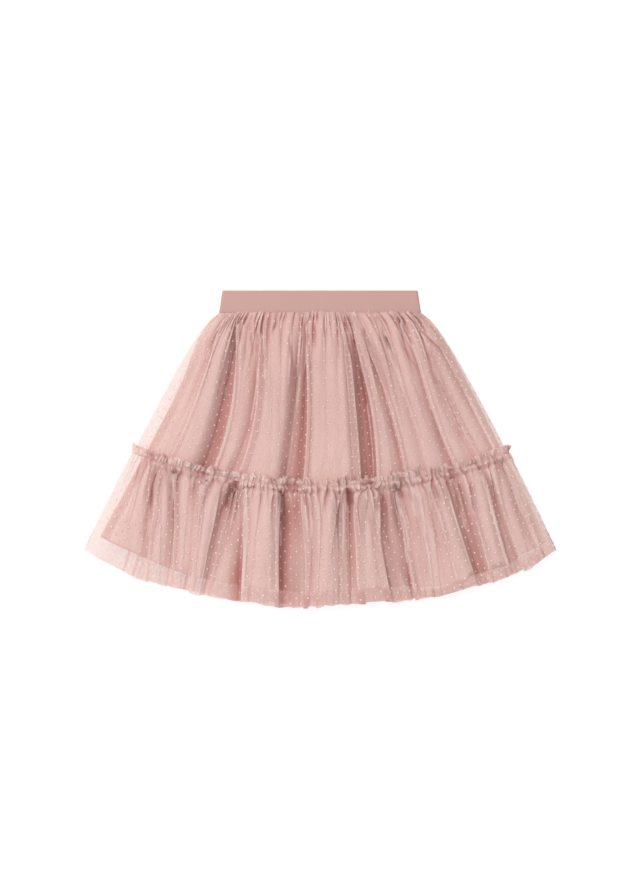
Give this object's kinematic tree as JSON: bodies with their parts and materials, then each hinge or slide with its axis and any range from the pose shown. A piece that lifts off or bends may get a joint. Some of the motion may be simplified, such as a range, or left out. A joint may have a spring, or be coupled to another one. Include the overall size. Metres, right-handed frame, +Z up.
{
  "type": "tulle skirt",
  "caption": "Child's tulle skirt laid flat: wide elastic waistband, gathered dotted tulle tier over a plain lining, and a gathered ruffle with a frilled heading and a raw hem.",
  "frame": {"origin": "middle of the laid-out skirt's footprint, on the surface that it lies on", "axes": "+X across the skirt from its left side fold to its right in a view from above with the waistband away from the viewer, +Y from the hem to the waistband, +Z up off the surface, out of the skirt's front"},
  "size_m": [0.5428, 0.364, 0.0231],
  "materials": {
    "covered_elastic": "smooth matt knit over wide elastic, dusty rose",
    "dotted_tulle": "sheer soft net with small raised dots in a staggered grid, dusty rose",
    "plain_lining": "opaque matt plain cloth, dusty rose"
  },
  "bodies": {
    "root": {"waistband": "covered_elastic", "upper_tier_front": "dotted_tulle", "upper_tier_back": "dotted_tulle", "ruffle_front": "dotted_tulle", "ruffle_back": "dotted_tulle", "lining_front": "plain_lining", "lining_back": "plain_lining"}
  },
  "joints": []
}
